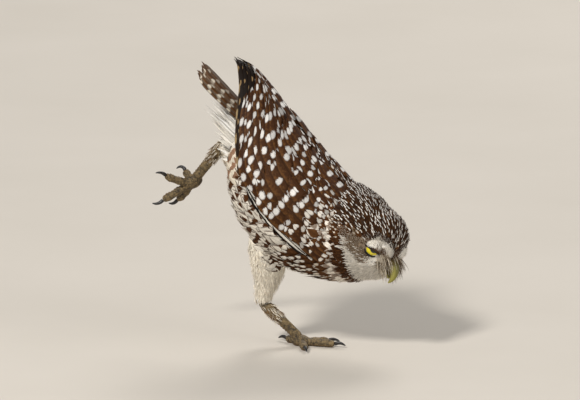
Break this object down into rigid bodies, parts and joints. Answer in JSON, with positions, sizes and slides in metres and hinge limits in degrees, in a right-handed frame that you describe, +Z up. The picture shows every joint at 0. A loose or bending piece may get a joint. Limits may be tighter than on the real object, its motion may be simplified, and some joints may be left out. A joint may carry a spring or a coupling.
{
  "type": "burrowing owl",
  "caption": "Life-size still model of a small long-legged owl leaning far forward on one leg, the other leg kicked back.",
  "frame": {"origin": "on the floor under the middle of the standing foot's sole", "axes": "+Z up from the floor; the bird's back points along +X, turned 20 degrees towards -Y and 42 degrees down"},
  "size_m": [0.1955, 0.1001, 0.2187],
  "materials": {
    "plumage": "soft matt body feathers, brown above and pale with rusty bars below",
    "flight_feathers": "brown flight and tail feathers with whitish spots",
    "leg_down": "cream downy leg feathers",
    "scaly_skin": "grey-brown scaly skin of the shanks and toes",
    "claw": "blackish horn",
    "bill": "olive-yellow horn",
    "eye": "wet yellow iris with a black pupil"
  },
  "bodies": {
    "root": {"torso": "plumage", "neck": "plumage", "head": "plumage", "wing_right": "flight_feathers", "wing_left": "flight_feathers", "tail": "flight_feathers", "eye_left": "eye", "eye_right": "eye", "bill_upper": "bill", "bill_lower": "bill", "thigh_right": "leg_down", "thigh_left": "leg_down", "shank_right": "scaly_skin", "shank_left": "scaly_skin", "foot_right": "scaly_skin", "foot_left": "scaly_skin", "claw_right_1": "claw", "claw_right_2": "claw", "claw_right_3": "claw", "claw_right_4": "claw", "claw_left_1": "claw", "claw_left_2": "claw", "claw_left_3": "claw", "claw_left_4": "claw"}
  },
  "joints": []
}
